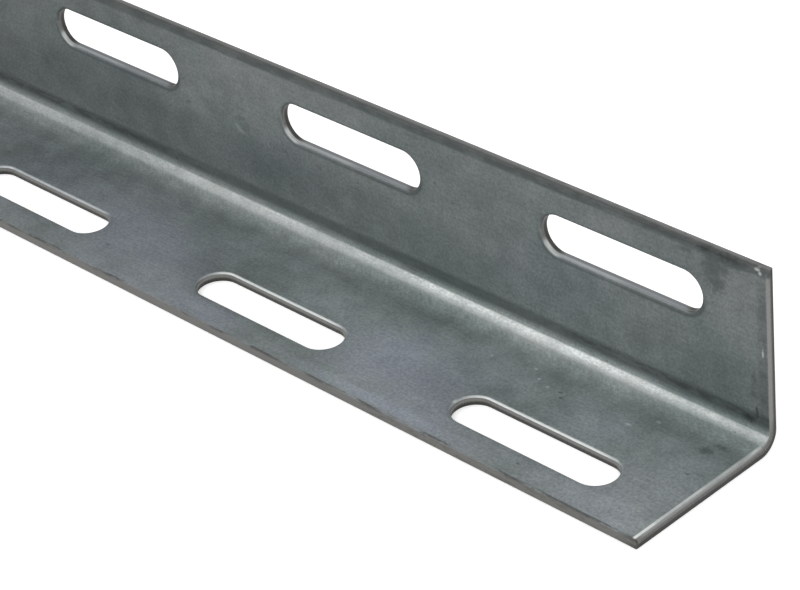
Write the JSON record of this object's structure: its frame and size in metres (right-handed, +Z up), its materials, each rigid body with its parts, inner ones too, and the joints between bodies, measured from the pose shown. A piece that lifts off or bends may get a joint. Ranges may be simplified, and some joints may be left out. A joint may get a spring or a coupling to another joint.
{
  "type": "slotted angle",
  "caption": "Length of folded steel angle stock with a row of long round-ended slots in each leg, for bolted framing and brackets.",
  "frame": {"origin": "under the middle of the stock: centre of its box, on the plane it lies on", "axes": "+X along the stock, +Y towards the outer face of the standing leg, +Z up"},
  "size_m": [0.9144, 0.0382, 0.0381],
  "materials": {
    "zinc_coated_steel": "satin"
  },
  "bodies": {
    "root": {"slotted_angle": "zinc_coated_steel"}
  },
  "joints": []
}
